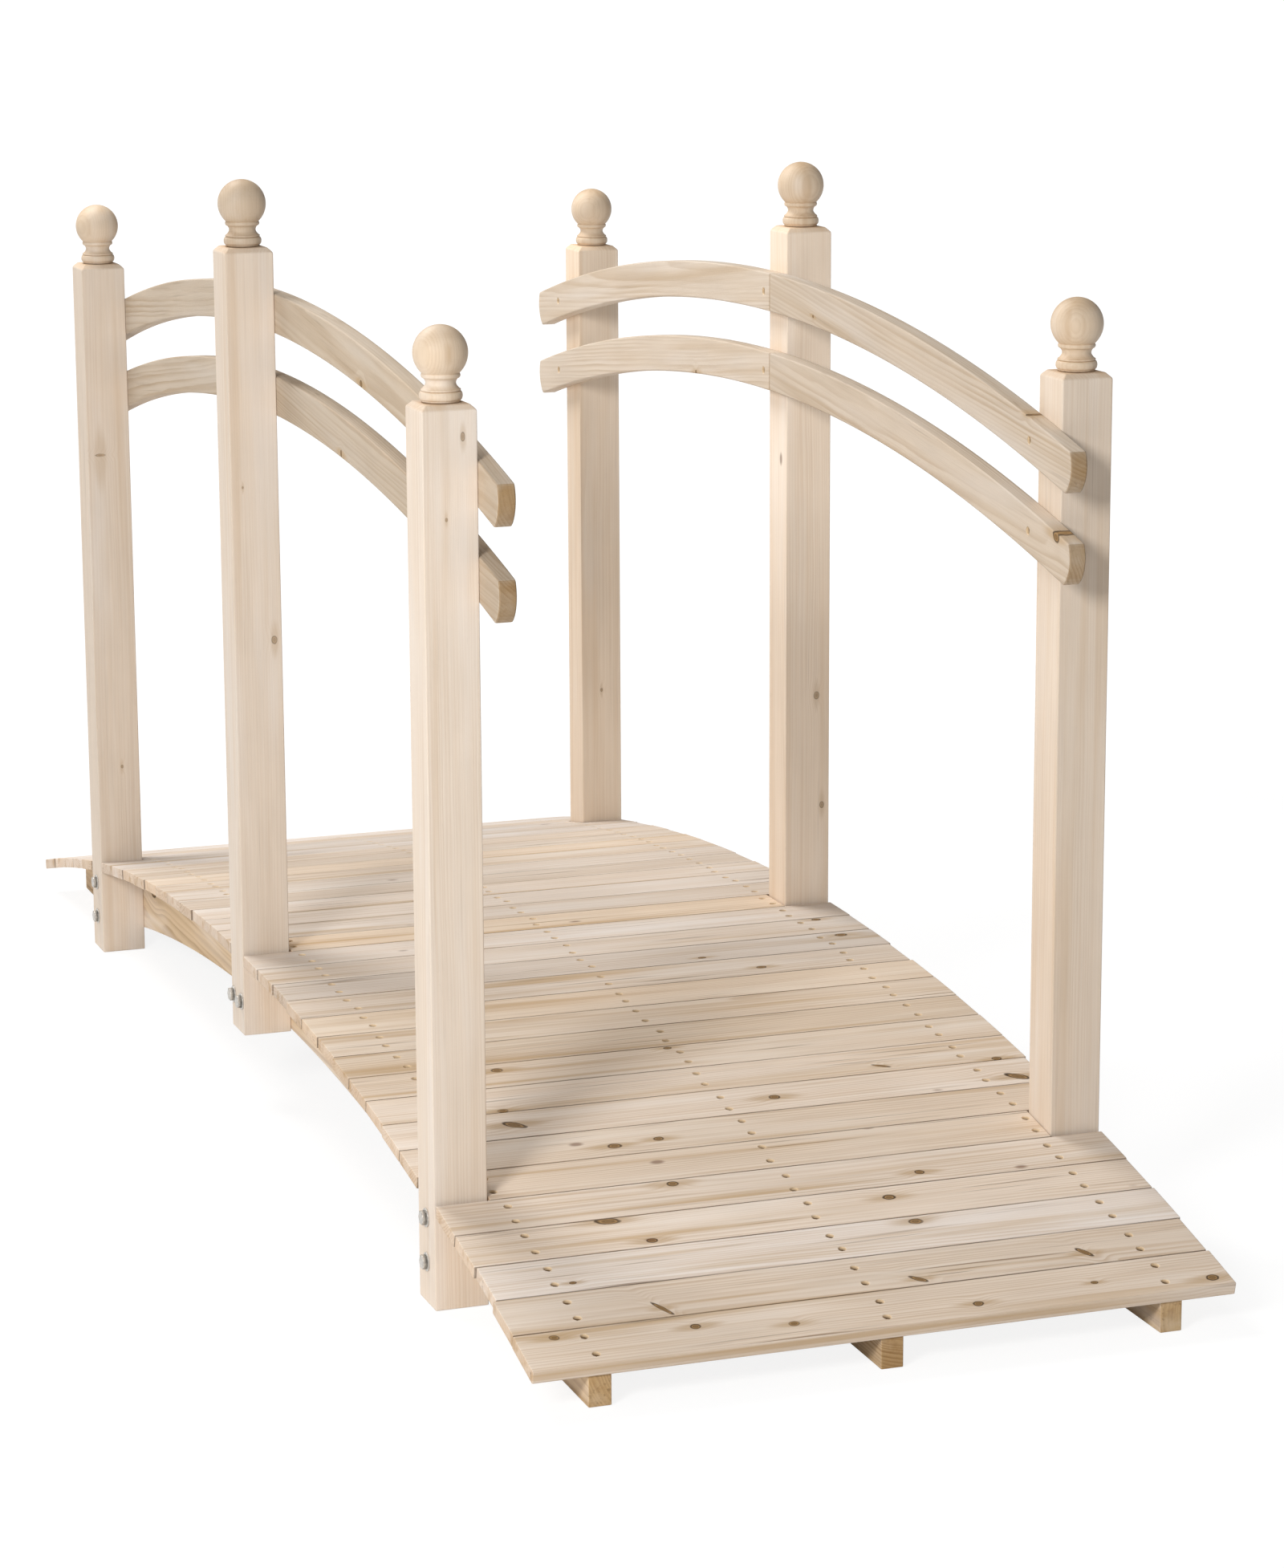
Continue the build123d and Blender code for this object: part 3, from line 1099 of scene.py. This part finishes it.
rail_wood = make_wood(
    "rail_fir",
    early=(0.925, 0.875, 0.810),
    late=(0.800, 0.710, 0.595),
    streak=(0.840, 0.760, 0.655),
    sawn=(0.80, 0.71, 0.56),
    spacing=0.0042,
    gloss=0.32,
    ring_depth=0.80,
    pin_knots=0.12,
    dirty=0.30,
)
finial_wood = make_wood(
    "finial_fir",
    early=(0.895, 0.825, 0.735),
    late=(0.800, 0.695, 0.570),
    streak=(0.820, 0.725, 0.610),
    sawn=(0.95, 0.91, 0.85),
    spacing=0.0034,
    gloss=0.46,
    ring_depth=0.42,
    pin_knots=0.0,
    dirty=0.0,
)
zinc = make_plated(
    "zinc_plating",
    dull=(0.68, 0.67, 0.65),
    bright=(0.86, 0.84, 0.81),
    spot=(0.38, 0.36, 0.33),
    rough_level=0.42,
    metallic=0.55,
)
yellow_zinc = make_plated(
    "yellow_plating",
    dull=(0.42, 0.34, 0.23),
    bright=(0.58, 0.48, 0.34),
    spot=(0.25, 0.19, 0.13),
    rough_level=0.50,
    metallic=0.70,
)

left_low, left_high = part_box("stringer_left")
stringer_line = (left_low.y + left_high.y) / 2
screw_places = make_deck(deck_wood, (stringer_line, 0.0, -stringer_line))
make_stringers(stringer_wood)
screw_places += make_rails(rail_wood)
make_posts(post_wood)
make_finials(finial_wood)
make_screw_heads(yellow_zinc, screw_places)
make_bolts(zinc)

# Floor, light and camera

# Distances from the middle over which the floor turns from pale to plain white
SHADOW_REACH = (1.0, 2.4)
FLOOR_REACH = 90.0
FLOOR_DROP = 0.0005
FLOOR_COLOUR = (0.95, 0.95, 0.95, 1.0)
FLOOR_WHITE_SHARE = 0.80
FLOOR_WHITE_STRENGTH = 1.08
WHITE = (1.0, 1.0, 1.0, 1.0)


def make_floor():
    """A pale floor that keeps the bridge's soft shadow near it and is plain white further out."""
    mesh = bmesh.new()
    corners = ((-1, -1), (1, -1), (1, 1), (-1, 1))
    mesh.faces.new([mesh.verts.new((x * FLOOR_REACH, y * FLOOR_REACH, -FLOOR_DROP)) for x, y in corners])
    data = bpy.data.meshes.new("floor")
    mesh.to_mesh(data)
    mesh.free()
    floor = bpy.data.objects.new("floor", data)
    bpy.context.scene.collection.objects.link(floor)
    material = bpy.data.materials.new("pale_floor")
    nodes = Nodes(material)
    place = nodes.add("ShaderNodeTexCoord", output="Object")
    distance = nodes.vector("LENGTH", place)
    light = nodes.add("ShaderNodeLightPath").node
    seen = nodes.math("MAXIMUM", light.outputs["Is Camera Ray"], light.outputs["Is Glossy Ray"])
    seen = nodes.math("MAXIMUM", seen, light.outputs["Is Transmission Ray"])
    share = nodes.math("MAXIMUM", nodes.step(distance, *SHADOW_REACH), FLOOR_WHITE_SHARE)
    whiteness = nodes.math("MULTIPLY", seen, share)
    matt = nodes.add("ShaderNodeBsdfDiffuse", {"Color": FLOOR_COLOUR})
    white = nodes.add("ShaderNodeEmission", {"Color": WHITE, "Strength": FLOOR_WHITE_STRENGTH})
    nodes.show(nodes.add("ShaderNodeMixShader", {0: whiteness, 1: matt, 2: white}))
    data.materials.append(material)


# Name, place, what it points at, width and power in watts
LAMPS = (
    ("front_lamp", (3.4, -2.9, 2.35), (0.1, 0.0, 0.5), 1.2, 120.0),
    ("top_lamp", (-1.8, -1.0, 3.4), (-0.8, 0.1, 0.1), 2.0, 102.0),
)
LAMP_COLOUR = (1.0, 0.99, 0.975)
WORLD_LIGHT = 0.29


def light_scene():
    """A white studio world, a soft lamp from the front left and a large one overhead."""
    world = bpy.data.worlds.new("studio")
    bpy.context.scene.world = world
    world.use_nodes = True
    tree = world.node_tree
    tree.nodes.clear()
    background = tree.nodes.new("ShaderNodeBackground")
    output = tree.nodes.new("ShaderNodeOutputWorld")
    light = tree.nodes.new("ShaderNodeLightPath")
    strength = tree.nodes.new("ShaderNodeMapRange")
    tree.links.new(light.outputs["Is Camera Ray"], strength.inputs["Value"])
    strength.inputs["To Min"].default_value = WORLD_LIGHT
    strength.inputs["To Max"].default_value = 1.0
    tree.links.new(strength.outputs[0], background.inputs["Strength"])
    background.inputs["Color"].default_value = WHITE
    tree.links.new(background.outputs[0], output.inputs["Surface"])
    for name, place, target, size, power in LAMPS:
        lamp = bpy.data.lights.new(name, "AREA")
        lamp.shape = "DISK"
        lamp.size = size
        lamp.energy = power
        lamp.color = LAMP_COLOUR
        softbox = bpy.data.objects.new(name, lamp)
        bpy.context.scene.collection.objects.link(softbox)
        softbox.location = place
        softbox.rotation_euler = (Vector(target) - Vector(place)).to_track_quat("-Z", "Y").to_euler()


CAMERA_PLACE = Vector((5.0338, -1.6381, 1.5384))
CAMERA_AZIMUTH = math.radians(70.485)
CAMERA_ELEVATION = math.radians(12.385)
CAMERA_ROLL = math.radians(-0.281)
CAMERA_LENS = 97.98


def add_camera():
    """The camera at the photograph's viewing angle."""
    data = bpy.data.cameras.new("camera")
    data.lens = CAMERA_LENS
    camera = bpy.data.objects.new("camera", data)
    bpy.context.scene.collection.objects.link(camera)
    level = math.cos(CAMERA_ELEVATION)
    back = Vector((
        math.sin(CAMERA_AZIMUTH) * level,
        -math.cos(CAMERA_AZIMUTH) * level,
        math.sin(CAMERA_ELEVATION),
    ))
    right = (-back).cross(Vector((0, 0, 1))).normalized()
    up = right.cross(-back)
    rolled_right = right * math.cos(CAMERA_ROLL) + up * math.sin(CAMERA_ROLL)
    rolled_up = up * math.cos(CAMERA_ROLL) - right * math.sin(CAMERA_ROLL)
    turned = Matrix((rolled_right, rolled_up, back)).transposed().to_4x4()
    camera.matrix_world = Matrix.Translation(CAMERA_PLACE) @ turned
    bpy.context.scene.camera = camera


make_floor()
light_scene()
add_camera()
bpy.context.scene.view_settings.view_transform = "Standard"
